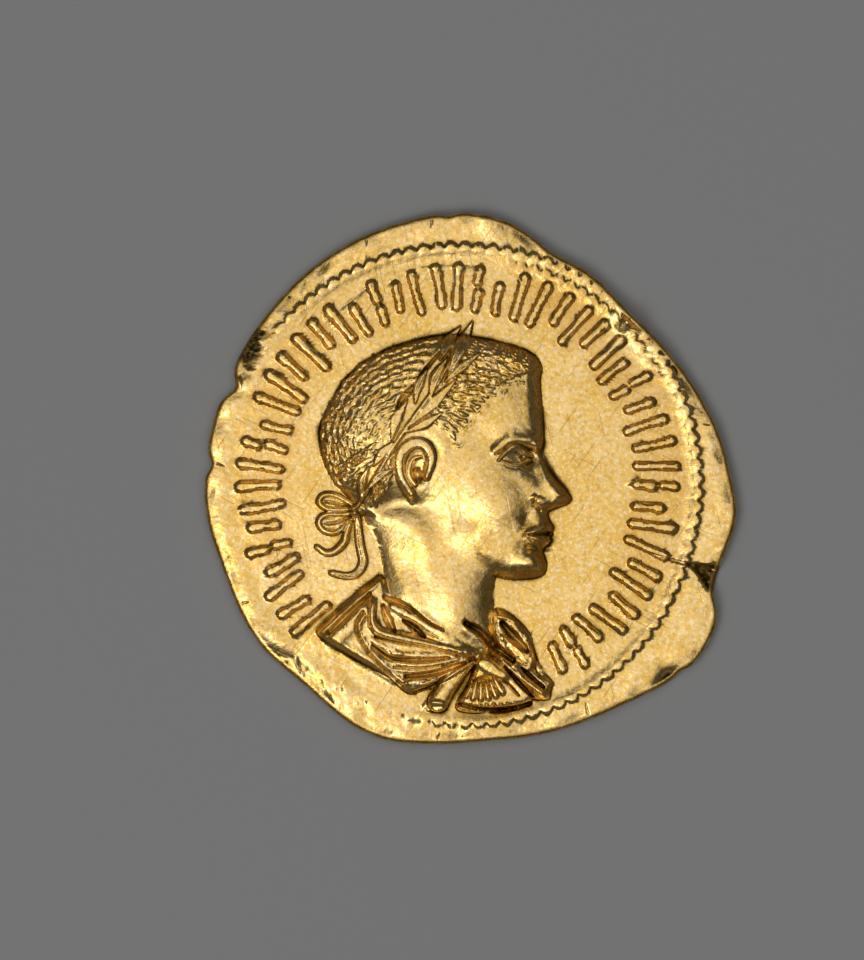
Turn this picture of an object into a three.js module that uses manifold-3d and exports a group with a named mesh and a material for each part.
// A hand-struck gold coin of the ancient world, lying flat on its reverse.
// The obverse shows a laurelled, draped bust to the right inside a ring of plain strokes and a
// beaded border. The reverse, struck plainer, shows a standing draped figure in the same kind of ring.
// Millimetres and degrees, +Z up, the origin under the middle of the flan.

import * as THREE from "three";
import { mergeVertices } from "three/addons/utils/BufferGeometryUtils.js";
import Module from "manifold-3d";

const wasm = await Module();
wasm.setup();

// Flan
const FLAN_RADIUS = 10.5;
const FLAN_THICKNESS = 0.64;
const EDGE_ROUNDING = 0.2;
const OUTLINE_STEPS = 76;
// Width and depth that the obverse trims off the blank, and how far its brim stands past the faces
const TRIMMED_WIDTH = 1.2;
const TRIMMED_DEPTH = 0.45;
const BRIM_LIFT = 0.02;
// Level below the reverse margin that its highest parts are worn flat to, and rest on
const WORN_LEVEL = 0.07;
// Hammered outline: bearing anticlockwise from +X, and radius there
const OUTLINE = [
  [0, 10.35], [10, 10.03], [20, 9.68], [34, 9.3], [47, 9.14], [60, 9.42], [70, 9.53], [76, 9.93],
  [82, 10.3], [91, 10.55], [106, 10.54], [125, 10.48], [146, 10.38], [167, 10.46], [186, 10.6],
  [200, 10.48], [218, 10.66], [231, 10.53], [249, 10.93], [261, 10.68], [273, 10.45], [288, 10.58],
  [303, 10.81], [314, 11.26], [321, 11.52], [330, 11.28], [335, 10.62], [341, 10.49], [352, 10.65],
];
// Nicks of the rim: bearing, half angle, depth
const NICKS = [
  [95, 2, 0.1], [159, 4, 0.38], [177, 3, 0.22], [317.5, 2, 0.1],
];

// Struck faces, measured from the flat margin
const DISH_RADIUS = 9.4;
const DISH_RISE = 0.22;
const REVERSE_SINK = 0.1;
const BLOCK_DEPTH = 3;
const BURIED = 0.25;
const FOOT = 0.07;
const FIELD_FACETS = 28;
// A bar's root against its crest, its least half width, and how its ends sink
const ROOT_SPREAD = 1.3;
const LEAST_HALF_WIDTH = 0.03;
const END_SHARE = 0.35;
const END_TAPER = 4;

// Border and ring of strokes
const OBVERSE_RING = {
  centre: [-0.5, -0.3], radius: 9.6, width: 0.42, height: 0.17, facets: 84, bulge: 0.07,
  strokes: 24, first: 219, last: -57, strokeRadius: 7.85, strokeLength: 1.5, strokeHeight: 0.18, paired: true,
};
const REVERSE_RING = {
  centre: [0.2, 0.1], radius: 9.15, width: 0.42, height: 0.1, facets: 36, bulge: 0,
  strokes: 12, first: 235, last: -55, strokeRadius: 7.7, strokeLength: 1.3, strokeHeight: 0.1, paired: false,
};
const STROKE_WIDTH = 0.34;
// Half width at the inner and outer end as a share of the width, and the root against the crest
const STROKE_FLARE = [0.35, 0.6];
const STROKE_SPREAD = 1.6;
const STROKE_LEAN = 7;
// Short stroke beside every second long one: its length, its place in the pitch, and its lean
const SHORT_STROKE = { length: 0.52, place: 0.42, lean: -10 };
// Slope outside and inside the crest of the beaded band
const BAND_FOOT = 0.1;
const BAND_CREST = 0.4;

// Bust: heights above the field
const HEAD_RISE = 0.78;
const NECK_RISE = 0.5;
const CLOTH_RISE = 0.44;
const HAIR_RISE = 0.12;
const LEAF_RISE = 0.18;
const TIE_RISE = 0.22;
// Face by thirds: hairline to brow, brow to nose, nose to chin
const FACE_LINE = 2.75;
const HAIRLINE = 3.87;
const FACE_THIRD = 2.593;
// Reverse
const FIGURE_RISE = 0.42;

const GOLD = new THREE.MeshStandardMaterial({
  name: "gold", color: "#dcb04c", roughness: 0.32, metalness: 1,
});

const radians = (degrees) => (degrees * Math.PI) / 180;
const clamp01 = (value) => Math.min(1, Math.max(0, value));
const smooth = (value) => clamp01(value) ** 2 * (3 - 2 * clamp01(value));
const mix = (from, to, share) => from + (to - from) * share;

// Smooth periodic curve through [bearing, value] rows
function valueAtBearing(rows, bearing) {
  const count = rows.length;
  const angle = ((bearing % 360) + 360) % 360;
  let low = rows.findLastIndex((row) => row[0] <= angle);
  if (low < 0) low = count - 1;
  const row = (i) => {
    const turns = Math.floor(i / count);
    const [at, value] = rows[i - turns * count];
    return [at + 360 * turns, value];
  };
  const [before, from, to, after] = [low - 1, low, low + 1, low + 2].map(row);
  const span = to[0] - from[0];
  const t = (angle - from[0]) / span;
  const slopeFrom = ((to[1] - before[1]) / (to[0] - before[0])) * span;
  const slopeTo = ((after[1] - from[1]) / (after[0] - from[0])) * span;
  return (
    from[1] * (2 * t ** 3 - 3 * t ** 2 + 1) +
    slopeFrom * (t ** 3 - 2 * t ** 2 + t) +
    to[1] * (3 * t ** 2 - 2 * t ** 3) +
    slopeTo * (t ** 3 - t ** 2)
  );
}

function flanRadius(bearing) {
  let radius = valueAtBearing(OUTLINE, bearing);
  for (const [at, halfAngle, depth] of NICKS) {
    const away = Math.abs(((bearing - at + 540) % 360) - 180) / halfAngle;
    radius -= depth * Math.exp(-(away ** 2) * 2);
  }
  return radius;
}

// Points given as [x, y] pairs, joined by a smooth curve
const vectors = (points) => points.map(([x, y]) => new THREE.Vector3(x, y, 0));
const smoothLoop = (points, steps) =>
  new THREE.CatmullRomCurve3(vectors(points), true, "centripetal").getPoints(steps).slice(0, -1);
const smoothPath = (points, steps) =>
  new THREE.CatmullRomCurve3(vectors(points), false, "centripetal").getPoints(steps);

// Solids

// Closed mesh from a list of points and a list of triangles
function meshOf(position, faces) {
  const geometry = new THREE.BufferGeometry();
  geometry.setAttribute("position", new THREE.Float32BufferAttribute(position, 3));
  geometry.setIndex(faces);
  return geometry;
}

// Skin over level rings that all hold the same number of points, closed flat at each end
function skinOf(rings) {
  const count = rings[0].length;
  const faces = [];
  for (let ring = 0; ring < rings.length - 1; ring++) {
    for (let i = 0; i < count; i++) {
      const [a, b] = [ring * count + i, ring * count + ((i + 1) % count)];
      faces.push(a, b, b + count, a, b + count, a + count);
    }
  }
  const top = (rings.length - 1) * count;
  for (const [i, j, k] of capOf(rings[0])) faces.push(i, k, j);
  for (const [i, j, k] of capOf(rings.at(-1))) faces.push(top + i, top + j, top + k);
  return meshOf(rings.flat().flatMap((point) => point.toArray()), faces);
}

// Triangles across a ring: a large one is level, and a small one may stand upright
function capOf(ring) {
  if (ring.length > 5) return THREE.ShapeUtils.triangulateShape(ring, []);
  return ring.slice(2).map((_, i) => [0, i + 1, i + 2]);
}

// Merged, closed copy of a geometry as a solid for joining and cutting
function solidOf(geometry) {
  const bare = geometry.clone();
  bare.deleteAttribute("normal");
  bare.deleteAttribute("uv");
  const merged = mergeVertices(bare, 1e-4);
  const index = Array.from(merged.index.array);
  const triVerts = [];
  for (let i = 0; i < index.length; i += 3) {
    const [a, b, c] = index.slice(i, i + 3);
    if (a !== b && b !== c && c !== a) triVerts.push(a, b, c);
  }
  const mesh = new wasm.Mesh({
    numProp: 3,
    vertProperties: Float32Array.from(merged.attributes.position.array),
    triVerts: Uint32Array.from(triVerts),
  });
  return new wasm.Manifold(mesh);
}

function geometryOf(solid) {
  const mesh = solid.getMesh();
  return meshOf(Array.from(mesh.vertProperties), Array.from(mesh.triVerts));
}

// Moves every point of a geometry by change(vector)
function reshape(geometry, change) {
  const position = geometry.attributes.position;
  const point = new THREE.Vector3();
  for (let i = 0; i < position.count; i++) {
    point.fromBufferAttribute(position, i);
    change(point);
    position.setXYZ(i, point.x, point.y, point.z);
  }
  return geometry;
}

const turned = (profile, steps) =>
  new THREE.LatheGeometry(profile.map(([r, z]) => new THREE.Vector2(r, z)), steps).rotateX(Math.PI / 2);

// A form swelling from its outline to its middle. Its outline is seen whole from the middle
class Form {
  // Share of the way out to the outline, and share of the rise there
  static SHOULDER = [[0.64, 1], [0.9, 0.74], [1, 0]];

  constructor({ outline, middle, rise, steps }) {
    this.outline = smoothLoop(outline, steps);
    if (THREE.ShapeUtils.area(this.outline) < 0) this.outline.reverse();
    this.middle = new THREE.Vector3(...middle, 0);
    this.rise = rise;
  }

  shareOut(x, y) {
    const [dx, dy] = [x - this.middle.x, y - this.middle.y];
    for (let i = 0; i < this.outline.length; i++) {
      const a = this.outline[i].clone().sub(this.middle);
      const b = this.outline[(i + 1) % this.outline.length].clone().sub(this.middle);
      const turn = a.x * b.y - a.y * b.x;
      const [u, v] = [(dx * b.y - dy * b.x) / turn, (a.x * dy - a.y * dx) / turn];
      if (u >= 0 && v >= 0) return u + v;
    }
    return 2;
  }

  heightAt(x, y) {
    const share = this.shareOut(x, y);
    const outer = Form.SHOULDER.findIndex(([out]) => out >= share);
    if (outer < 0) return 0;
    if (outer === 0) return this.rise;
    const [[from, high], [to, low]] = [Form.SHOULDER[outer - 1], Form.SHOULDER[outer]];
    return this.rise * mix(high, low, (share - from) / (to - from));
  }

  geometry(field) {
    const ringAt = (out, share) =>
      this.outline.map((point) => {
        const place = this.middle.clone().lerp(point, out);
        return place.setZ(field(place.x, place.y) + share);
      });
    const rows = Form.SHOULDER.toReversed();
    return skinOf([ringAt(1, -BURIED), ...rows.map(([out, share]) => ringAt(out, share * this.rise))]);
  }
}

// One struck face: a field, forms standing on it, bars laid over them and grooves cut in
class StruckFace {
  constructor(field, forms) {
    this.field = field;
    this.forms = forms.map((form) => new Form(form));
    const block = solidOf(fieldBlock(field));
    this.solid = this.forms.reduce((sum, form) => sum.add(solidOf(form.geometry(field))), block);
  }

  surfaceAt(x, y) {
    return this.field(x, y) + Math.max(0, ...this.forms.map((form) => form.heightAt(x, y)));
  }

  // Ridge along a path, its crest risen over what it lies on; a negative rise cuts a groove
  bar({ path, width, rise, steps = path.length }) {
    const points = smoothPath(path, steps);
    const [from, to, belly = (width[0] + width[1]) / 2] = width;
    const spread = ROOT_SPREAD;
    const rings = points.map((point, i) => {
      const along = i / steps;
      const ahead = points[Math.min(i + 1, steps)].clone().sub(points[Math.max(i - 1, 0)]).normalize();
      const half = along < 0.5 ? mix(from, belly, along * 2) : mix(belly, to, along * 2 - 1);
      const swell = rise * Math.min(1, END_SHARE + END_TAPER * Math.min(along, 1 - along));
      const across = new THREE.Vector3(-ahead.y, ahead.x, 0).multiplyScalar(Math.max(half, LEAST_HALF_WIDTH));
      const at = (share) => point.clone().addScaledVector(across, share);
      const over = (share, lift) => at(share).setZ(this.surfaceAt(at(share).x, at(share).y) + lift);
      const root = (share) => at(share).setZ(this.field(point.x, point.y) - BURIED);
      return rise > 0
        ? [root(-spread), over(-spread, -FOOT), over(0, swell), over(spread, -FOOT), root(spread)]
        : [over(spread, FOOT), over(0, swell), over(-spread, FOOT), over(0, BURIED)];
    });
    const solid = solidOf(skinOf(rings.reverse()));
    this.solid = rise > 0 ? this.solid.add(solid) : this.solid.subtract(solid);
  }

  // Oval swelling with its middle at the surface, raised by its own height
  swelling([x, y], [radiusX, radiusY], rise, angle = 0) {
    const ball = new THREE.SphereGeometry(1, 8, 6).rotateX(Math.PI / 2);
    ball.scale(radiusX, radiusY, Math.abs(rise));
    ball.rotateZ(radians(angle)).translate(x, y, this.surfaceAt(x, y));
    this.solid = rise > 0 ? this.solid.add(solidOf(ball)) : this.solid.subtract(solidOf(ball));
  }

  add(geometry) {
    this.solid = this.solid.add(solidOf(geometry));
  }

  cut(geometry) {
    this.solid = this.solid.subtract(solidOf(geometry));
  }
}

// Block under a round field, flat outside the border
function fieldBlock(field) {
  const reach = FLAN_RADIUS * 1.3;
  const rows = [0, 0.5, 0.93, 1].map((share) => [share * DISH_RADIUS, field(share * DISH_RADIUS, 0)]);
  return turned([[0, -BLOCK_DEPTH], [reach, -BLOCK_DEPTH], [reach, 0], ...rows.reverse()], FIELD_FACETS);
}

const dish = (x, y) => DISH_RISE * Math.max(0, 1 - (x ** 2 + y ** 2) / DISH_RADIUS ** 2);
const obverseField = (x, y) => dish(x, y);
const reverseField = (x, y) =>
  -dish(x, y) - REVERSE_SINK * smooth((DISH_RADIUS - Math.hypot(x, y)) / (DISH_RADIUS * 0.1));

// Bust

// Skull from the nape over the crown to the hairline
const SKULL = [
  [-4.66, -0.97], [-5.26, -0.34], [-5.7, 0.34], [-5.97, 1.17], [-5.97, 2.08], [-5.54, 3.08],
  [-4.82, 4.11], [-3.79, 4.9], [-2.32, 5.46], [-0.85, 5.7], [0.46, 5.56], [1.81, 5.22], [2.52, 4.86],
  [2.82, 4.39],
];
// Profile by thirds of the face: forward of the face line, and down from the hairline in thirds
const PROFILE = [
  [0, 0], [0.1, 0.5], [0.14, 0.95], [0.02, 1.13], [0.5, 1.45], [1.2, 1.76], [1.1, 1.88], [0.35, 2],
  [0.38, 2.14], [0.52, 2.24], [0.3, 2.33], [0.44, 2.45], [0.12, 2.6], [0.26, 2.8], [0.16, 2.95], [-0.3, 3.02],
].map(([forward, down]) => [FACE_LINE + forward, HAIRLINE - down * FACE_THIRD]);
const JAW = [
  [1.4, -3.98], [0.3, -3.6], [-0.8, -2.9], [-1.6, -2.0], [-2.0, -1.4], [-3.1, -1.2], [-3.9, -1.5],
];
const HEAD_MIDDLE = [-1.2, 0.7];
const EYE_LINE = HAIRLINE - 1.18 * FACE_THIRD;
const MOUTH_LINE = HAIRLINE - 2.34 * FACE_THIRD;

const BUST_FORMS = [
  {
    outline: [
      [-1.4, -0.5], [-4.1, -1.0], [-4.15, -1.7], [-3.79, -2.2], [-3.55, -3.1], [-3.43, -4.0], [-3.6, -5.0],
      [-2.2, -6.2], [-0.4, -7.0], [0.7, -6.9], [0.85, -6.3], [0.89, -5.3], [0.86, -4.4], [1.1, -3.2],
      [0.6, -1.5],
    ],
    middle: [-1.4, -3.6], rise: NECK_RISE, steps: 24,
  },
  {
    outline: [
      [-3.5, -3.95], [-4.8, -4.9], [-6.03, -5.97], [-5.9, -6.35], [-4.35, -7.28], [-3.31, -7.84],
      [-2.28, -8.55], [-0.6, -7.8], [0.35, -6.95], [-0.46, -6.31], [-1.93, -5.42], [-3.1, -4.75],
    ],
    middle: [-3.1, -6.4], rise: CLOTH_RISE, steps: 26,
  },
  {
    outline: [
      [0.3, -6.8], [1.0, -7.15], [1.7, -7.8], [2.5, -8.5], [2.1, -9.0], [0.46, -9.3], [-0.6, -9.1],
      [-0.1, -8.1],
    ],
    middle: [0.75, -8.2], rise: CLOTH_RISE, steps: 18,
  },
  {
    outline: [
      [0.92, -5.2], [1.73, -5.5], [2.32, -6.37], [2.58, -7.05], [2.62, -7.65], [3.2, -8.16], [2.9, -8.8],
      [1.7, -8.4], [1.1, -7.5], [0.9, -6.6],
    ],
    middle: [1.85, -7.1], rise: CLOTH_RISE * 0.8, steps: 20,
  },
  { outline: [...SKULL, ...PROFILE, ...JAW], middle: HEAD_MIDDLE, rise: HEAD_RISE, steps: 58 },
];

function carveFace(face) {
  face.swelling([1.95, EYE_LINE], [0.36, 0.22], 0.06);
  const upperLid = [[1.4, EYE_LINE], [1.9, EYE_LINE + 0.28], [2.45, EYE_LINE + 0.02]];
  const mouth = [[3.3, MOUTH_LINE], [2.7, MOUTH_LINE], [2.3, MOUTH_LINE - 0.06]];
  const details = [
    { path: upperLid, width: [0.05, 0.05, 0.1], rise: 0.07 },
    { path: [[1.0, 1.15], [1.8, 1.45], [2.7, 1.3]], width: [0.06, 0.16, 0.16], rise: 0.09 },
    { path: [[2.62, 1.1], [2.95, 0.2], [3.55, -0.5]], width: [0.14, 0.22], rise: 0.1 },
    { path: [[3.12, MOUTH_LINE + 0.22], [2.4, MOUTH_LINE + 0.06]], width: [0.16, 0.05], rise: 0.1 },
    { path: [[3.0, MOUTH_LINE - 0.24], [2.45, MOUTH_LINE - 0.14]], width: [0.17, 0.05], rise: 0.1 },
    { path: mouth, width: [0.08, 0.05], rise: -0.12 },
  ];
  for (const detail of details) face.bar(detail);
  face.swelling([3.0, -1.02], [0.32, 0.22], 0.16, 15);
}

function carveEar(face) {
  const helix = [
    [-1.75, 0.1], [-1.6, 0.9], [-1.9, 1.4], [-2.4, 1.35], [-2.8, 0.8], [-2.7, 0.1], [-2.25, -0.7],
  ];
  face.bar({ path: helix, width: [0.14, 0.22, 0.2], rise: 0.18, steps: 8 });
  face.swelling([-2.15, 0.4], [0.34, 0.6], -0.12, 12);
}

// Locks in rows: round the back of the skull behind the wreath, and forward to the forehead before it
const CROWN = [-3.0, 1.4];
const BACK_ROWS = 4;
// Share of the way from the skull's outline to the crown: first row, and last row past it
const FIRST_ROW = 0.12;
const ROWS_REACH = 0.62;
const FRONT_LOCKS = [
  [[0.0, 5.45], [1.3, 5.1], [2.5, 4.55]], [[-0.3, 5.0], [1.0, 4.75], [2.6, 4.0]],
  [[-0.6, 4.4], [0.7, 4.25], [1.9, 3.85]], [[-0.9, 3.8], [0.3, 3.75], [1.1, 3.5]],
  [[-1.2, 3.2], [-0.3, 3.1], [0.5, 2.8]], [[-1.6, 2.6], [-0.8, 2.5], [-0.1, 2.0]],
  [[-1.9, 2.1], [-1.2, 1.9], [-0.8, 1.1]], [[-3.1, 1.1], [-3.3, 0.0], [-3.7, -1.2]],
];

function layHair(face) {
  for (let row = 0; row < BACK_ROWS; row++) {
    const inward = FIRST_ROW + (row * ROWS_REACH) / BACK_ROWS;
    const towardsCrown = ([x, y]) => [mix(x, CROWN[0], inward), mix(y, CROWN[1], inward)];
    const lock = SKULL.slice(1 + row / 2, 9).map(towardsCrown);
    face.bar({ path: lock, width: [0.1, 0.14, 0.26], rise: HAIR_RISE, steps: 8 });
  }
  for (const path of FRONT_LOCKS) face.bar({ path, width: [0.16, 0.08, 0.24], rise: HAIR_RISE, steps: 2 });
}

// Laurel wreath: a stem up the side of the head, and leaves along it
const WREATH_STEM = [
  [-4.5, -1.15], [-3.79, 0.02], [-3.08, 1.21], [-2.32, 2.32], [-1.53, 3.43], [-0.89, 4.51],
];
const LEAVES = [
  [[-3.1, 1.4], [-3.85, 0.5]], [[-3.12, 1.55], [-2.52, 3.08]], [[-2.32, 2.16], [-0.58, 3.91]],
  [[-2.52, 1.85], [-1.13, 2.6]], [[-1.6, 3.2], [-0.95, 4.74]], [[-0.89, 4.07], [0.0, 6.15]],
  [[-1.13, 4.9], [-0.5, 6.0]], [[-4.03, -0.38], [-3.1, 0.35]],
];

function layWreath(face) {
  face.bar({ path: WREATH_STEM, width: [0.12, 0.12], rise: LEAF_RISE * 0.7, steps: 5 });
  for (const path of LEAVES) face.bar({ path, width: [0.05, 0.02, 0.3], rise: LEAF_RISE, steps: 4 });
}

// Ties of the wreath behind the nape: two bows and two tails
const TIES = [
  [[-4.6, -1.2], [-5.1, -1.25], [-5.75, -1.15], [-6.0, -0.85], [-5.7, -0.66], [-5.1, -0.75], [-4.7, -1.1]],
  [[-4.6, -1.4], [-5.2, -1.45], [-5.85, -1.5], [-6.0, -1.8], [-5.6, -2.05], [-5.0, -1.9], [-4.65, -1.5]],
  [[-4.8, -1.8], [-5.02, -2.52], [-5.38, -2.88], [-5.74, -2.96], [-6.09, -2.72]],
  [[-4.51, -1.6], [-4.39, -2.64], [-4.27, -3.31], [-4.51, -3.75], [-4.94, -3.87], [-5.5, -3.75]],
];

function layTies(face) {
  for (const path of TIES) face.bar({ path, width: [0.13, 0.13], rise: TIE_RISE });
  face.swelling([-4.51, -1.27], [0.32, 0.28], 0.3);
}

// Folds of the cloak, and the hollows between them
const FOLDS = [
  { path: [[-3.6, -4.0], [-4.8, -5.0], [-5.9, -6.05]], width: [0.22, 0.28], rise: 0.22 },
  { path: [[-4.27, -4.9], [-4.13, -5.88], [-3.39, -7.21], [-2.52, -8.24]], width: [0.2, 0.22], rise: 0.16 },
  {
    path: [[-4.13, -4.78], [-3.8, -5.9], [-3.04, -6.09], [-1.93, -6.53], [-0.24, -7.0]],
    width: [0.22, 0.24], rise: 0.2,
  },
  { path: [[-3.3, -4.8], [-1.93, -5.6], [-0.46, -6.5], [0.2, -6.85]], width: [0.18, 0.22], rise: 0.14 },
  { path: [[-3.2, -6.75], [-1.93, -7.05], [0.26, -7.1]], width: [0.14, 0.12], rise: 0.16 },
  { path: [[0.22, -7.15], [-0.6, -8.1], [-1.35, -9.1]], width: [0.12, 0.52, 0.34], rise: 0.5 },
  { path: [[0.97, -7.15], [1.55, -7.8], [2.4, -8.6]], width: [0.16, 0.2], rise: 0.2 },
  { path: [[1.0, -5.4], [1.05, -6.05], [1.6, -6.8]], width: [0.14, 0.14], rise: 0.16 },
  {
    path: [[1.41, -6.33], [1.97, -6.69], [2.3, -7.09], [2.08, -7.4], [1.61, -7.28]],
    width: [0.13, 0.13], rise: 0.14,
  },
];
const HOLLOWS = [
  { path: [[-4.0, -4.7], [-4.9, -5.4], [-5.6, -6.2]], width: [0.12, 0.18], rise: -0.16 },
  { path: [[-3.75, -6.2], [-3.3, -6.9], [-2.6, -7.8]], width: [0.14, 0.12], rise: -0.2 },
  { path: [[-2.4, -7.8], [-1.57, -7.72], [-0.4, -7.3]], width: [0.18, 0.08], rise: -0.25 },
];
const CHEST_APEX = [0.47, -7.12];
const CHEST_PLEATS = 4;
const PLEAT_BEARINGS = [-106, -60];
const PLEAT_REACH = [0.9, 1.85];

function layCloak(face) {
  for (const fold of [...FOLDS, ...HOLLOWS]) face.bar(fold);
  for (let pleat = 0; pleat < CHEST_PLEATS; pleat++) {
    const angle = radians(mix(...PLEAT_BEARINGS, pleat / (CHEST_PLEATS - 1)));
    const path = PLEAT_REACH.map((reach) => [
      CHEST_APEX[0] + reach * Math.cos(angle),
      CHEST_APEX[1] + reach * Math.sin(angle),
    ]);
    face.bar({ path, width: [0.08, 0.17], rise: 0.16 });
  }
  face.swelling([0.71, -6.78], [0.24, 0.24], 0.22);
}

// The torn edge at the right: a sloping wedge between two lips, and the crack that runs in from it
const TEAR_LIPS = [
  [7.8, -3.15], [8.6, -3.0], [9.3, -3.4], [9.9, -3.8], [11.2, -4.3], [11.2, -5.4], [9.9, -4.95], [9.25, -4.5],
  [8.9, -3.85], [8.4, -3.4],
];
const TEAR_MIDDLE = new THREE.Vector3(9.6, -4.1, 0);
// Share of the lips' size, and height
const TEAR_SECTION = [[0.62, -0.42], [0.85, -0.3], [1.02, 0.05], [1.3, 0.7]];

function tearRim(face) {
  const lips = smoothLoop(TEAR_LIPS, 30).reverse();
  const ringAt = ([share, height]) =>
    lips.map((point) => TEAR_MIDDLE.clone().lerp(point, share).setZ(height));
  face.cut(skinOf(TEAR_SECTION.map(ringAt)));
  face.bar({ path: [[8.1, -3.15], [7.5, -3.1], [6.9, -2.9]], width: [0.12, 0.03], rise: -0.12 });
}

function obverseFace() {
  const face = new StruckFace(obverseField, BUST_FORMS);
  layCloak(face);
  carveFace(face);
  layHair(face);
  carveEar(face);
  layWreath(face);
  layTies(face);
  strikeRing(face, OBVERSE_RING);
  tearRim(face);
  return face.solid;
}

// Reverse: a draped figure with a long staff and a shallow bowl, on a ground line
const FIGURE_FORMS = [
  {
    outline: [
      [-0.9, 2.6], [-1.35, 0.6], [-1.2, -1.5], [-1.5, -4.2], [-1.7, -6.0], [0, -6.25], [1.8, -6.0],
      [1.5, -4.0], [1.25, -1.5], [1.4, 0.6], [0.95, 2.7],
    ],
    middle: [0, -1.6], rise: FIGURE_RISE, steps: 20,
  },
  {
    outline: [
      [-0.95, 4.0], [-1.0, 2.4], [-0.7, 1.2], [0.7, 1.2], [1.0, 2.4], [0.95, 4.0], [0.3, 4.4], [-0.3, 4.4],
    ],
    middle: [0, 2.8], rise: FIGURE_RISE, steps: 14,
  },
  {
    outline: [
      [-0.5, 4.9], [-0.62, 5.4], [-0.3, 5.95], [0.3, 5.95], [0.62, 5.4], [0.5, 4.9], [0.2, 4.4], [-0.2, 4.4],
    ],
    middle: [0, 5.2], rise: FIGURE_RISE * 0.75, steps: 12,
  },
];
const FIGURE_BARS = [
  { path: [[-0.8, 3.7], [-1.7, 2.6], [-2.9, 2.1]], width: [0.3, 0.2], rise: 0.16 },
  { path: [[0.8, 3.8], [1.7, 3.3], [2.5, 3.9]], width: [0.3, 0.2], rise: 0.16 },
  { path: [[2.6, 6.5], [2.75, -6.1]], width: [0.13, 0.13], rise: 0.12 },
  { path: [[1.1, 3.7], [1.75, 2.0], [2.0, -0.4], [1.9, -3.2]], width: [0.2, 0.06, 0.32], rise: 0.14 },
  { path: [[-4.2, -6.4], [4.2, -6.4]], width: [0.13, 0.13], rise: 0.12 },
];
// Grooves of the gown: place across it, and where each starts
const GOWN_FOLDS = [[-0.5, 1.0], [0, -1.6], [0.5, 1.0]];

function reverseFace() {
  const face = new StruckFace(reverseField, FIGURE_FORMS);
  for (const bar of FIGURE_BARS) face.bar(bar);
  face.swelling([-3.3, 2.15], [0.55, 0.3], 0.15);
  face.swelling([2.6, 6.6], [0.28, 0.28], 0.15);
  for (const [share, top] of GOWN_FOLDS) {
    const path = [[share * 1.4, top], [share * 1.7, -2.5], [share * 2.7, -5.7]];
    face.bar({ path, width: [0.08, 0.12], rise: -0.22 });
  }
  strikeRing(face, REVERSE_RING);
  return face.solid;
}

// Raised band whose outer side bulges into beads
function beadedBorder({ centre, radius, width, height, facets, bulge }) {
  const profile = [
    [radius - width, -BURIED], [radius + BAND_FOOT, -BURIED], [radius - BAND_CREST * width, height],
    [radius - width, -BURIED],
  ];
  return reshape(turned(profile, facets), (point) => {
    const bearing = Math.atan2(point.y, point.x);
    const outward = Math.hypot(point.x, point.y) > radius - width / 2;
    const beading = outward ? bulge * Math.cos((bearing * facets) / 2) : 0;
    const scale = 1 + beading / radius;
    point.set(point.x * scale + centre[0], point.y * scale + centre[1], point.z);
  });
}

// One plain wedge-shaped stroke with sloping sides, wider at its outer end
function stroke(length, height) {
  const halfWidth = (along) => STROKE_WIDTH * mix(...STROKE_FLARE, along);
  const ringAt = (along) => {
    const x = (along - 0.5) * length;
    return [[-1, -BURIED], [0, height], [1, -BURIED]].map(
      ([across, z]) => new THREE.Vector3(x, -across * halfWidth(along) * STROKE_SPREAD, z),
    );
  };
  return skinOf([ringAt(0), ringAt(1)]);
}

// The beaded border, and strokes in the place of the inscription: long and short, none of them a letter
function strikeRing(face, ring) {
  face.add(beadedBorder(ring).translate(0, 0, face.field(ring.radius, 0)));
  const { centre, strokes, first, last, strokeRadius, strokeLength, strokeHeight, paired } = ring;
  const pitch = (last - first) / (strokes - 1);
  const place = (bearing, radius, length, lean) => {
    const angle = radians(bearing);
    const x = centre[0] + radius * Math.cos(angle);
    const y = centre[1] + radius * Math.sin(angle);
    face.add(stroke(length, strokeHeight).rotateZ(angle + radians(lean)).translate(x, y, face.field(x, y)));
  };
  for (let i = 0; i < strokes; i++) {
    const bearing = first + pitch * i;
    place(bearing, strokeRadius, strokeLength, i % 2 ? STROKE_LEAN : -STROKE_LEAN);
    if (!paired || i % 2) continue;
    const short = strokeLength * SHORT_STROKE.length;
    const shift = (strokeLength - short) * (i % 4 < 2 ? 0.5 : -0.5);
    place(bearing + pitch * SHORT_STROKE.place, strokeRadius + shift, short, SHORT_STROKE.lean);
  }
}

// The blank with its rounded edge, higher than the obverse that trims it, and flat where it is worn below
function flanBlank() {
  const top = FLAN_THICKNESS;
  const brim = FLAN_RADIUS - EDGE_ROUNDING * 0.8;
  const margin = FLAN_RADIUS - TRIMMED_WIDTH;
  const profile = [
    [0, -WORN_LEVEL], [margin, -WORN_LEVEL], [brim, -BRIM_LIFT], [FLAN_RADIUS, EDGE_ROUNDING],
    [FLAN_RADIUS, top - EDGE_ROUNDING], [brim, top + BRIM_LIFT],
    [margin, top + TRIMMED_DEPTH], [margin - TRIMMED_DEPTH, BLOCK_DEPTH], [0, BLOCK_DEPTH],
  ];
  return reshape(turned(profile, OUTLINE_STEPS), (point) => {
    const bearing = THREE.MathUtils.radToDeg(Math.atan2(point.y, point.x));
    const scale = flanRadius(bearing) / FLAN_RADIUS;
    point.x *= scale;
    point.y *= scale;
  });
}

function makeCoin() {
  const obverse = obverseFace().translate(0, 0, FLAN_THICKNESS);
  const reverse = reverseFace().rotate(180, 0, 0);
  const geometry = geometryOf(solidOf(flanBlank()).intersect(obverse).intersect(reverse));
  geometry.computeBoundingBox();
  const { min, max } = geometry.boundingBox;
  geometry.translate(-(min.x + max.x) / 2, -(min.y + max.y) / 2, -min.z);
  const coin = new THREE.Mesh(geometry, GOLD);
  coin.name = "coin";
  return coin;
}

const model = new THREE.Group();
model.add(makeCoin());

export default model;
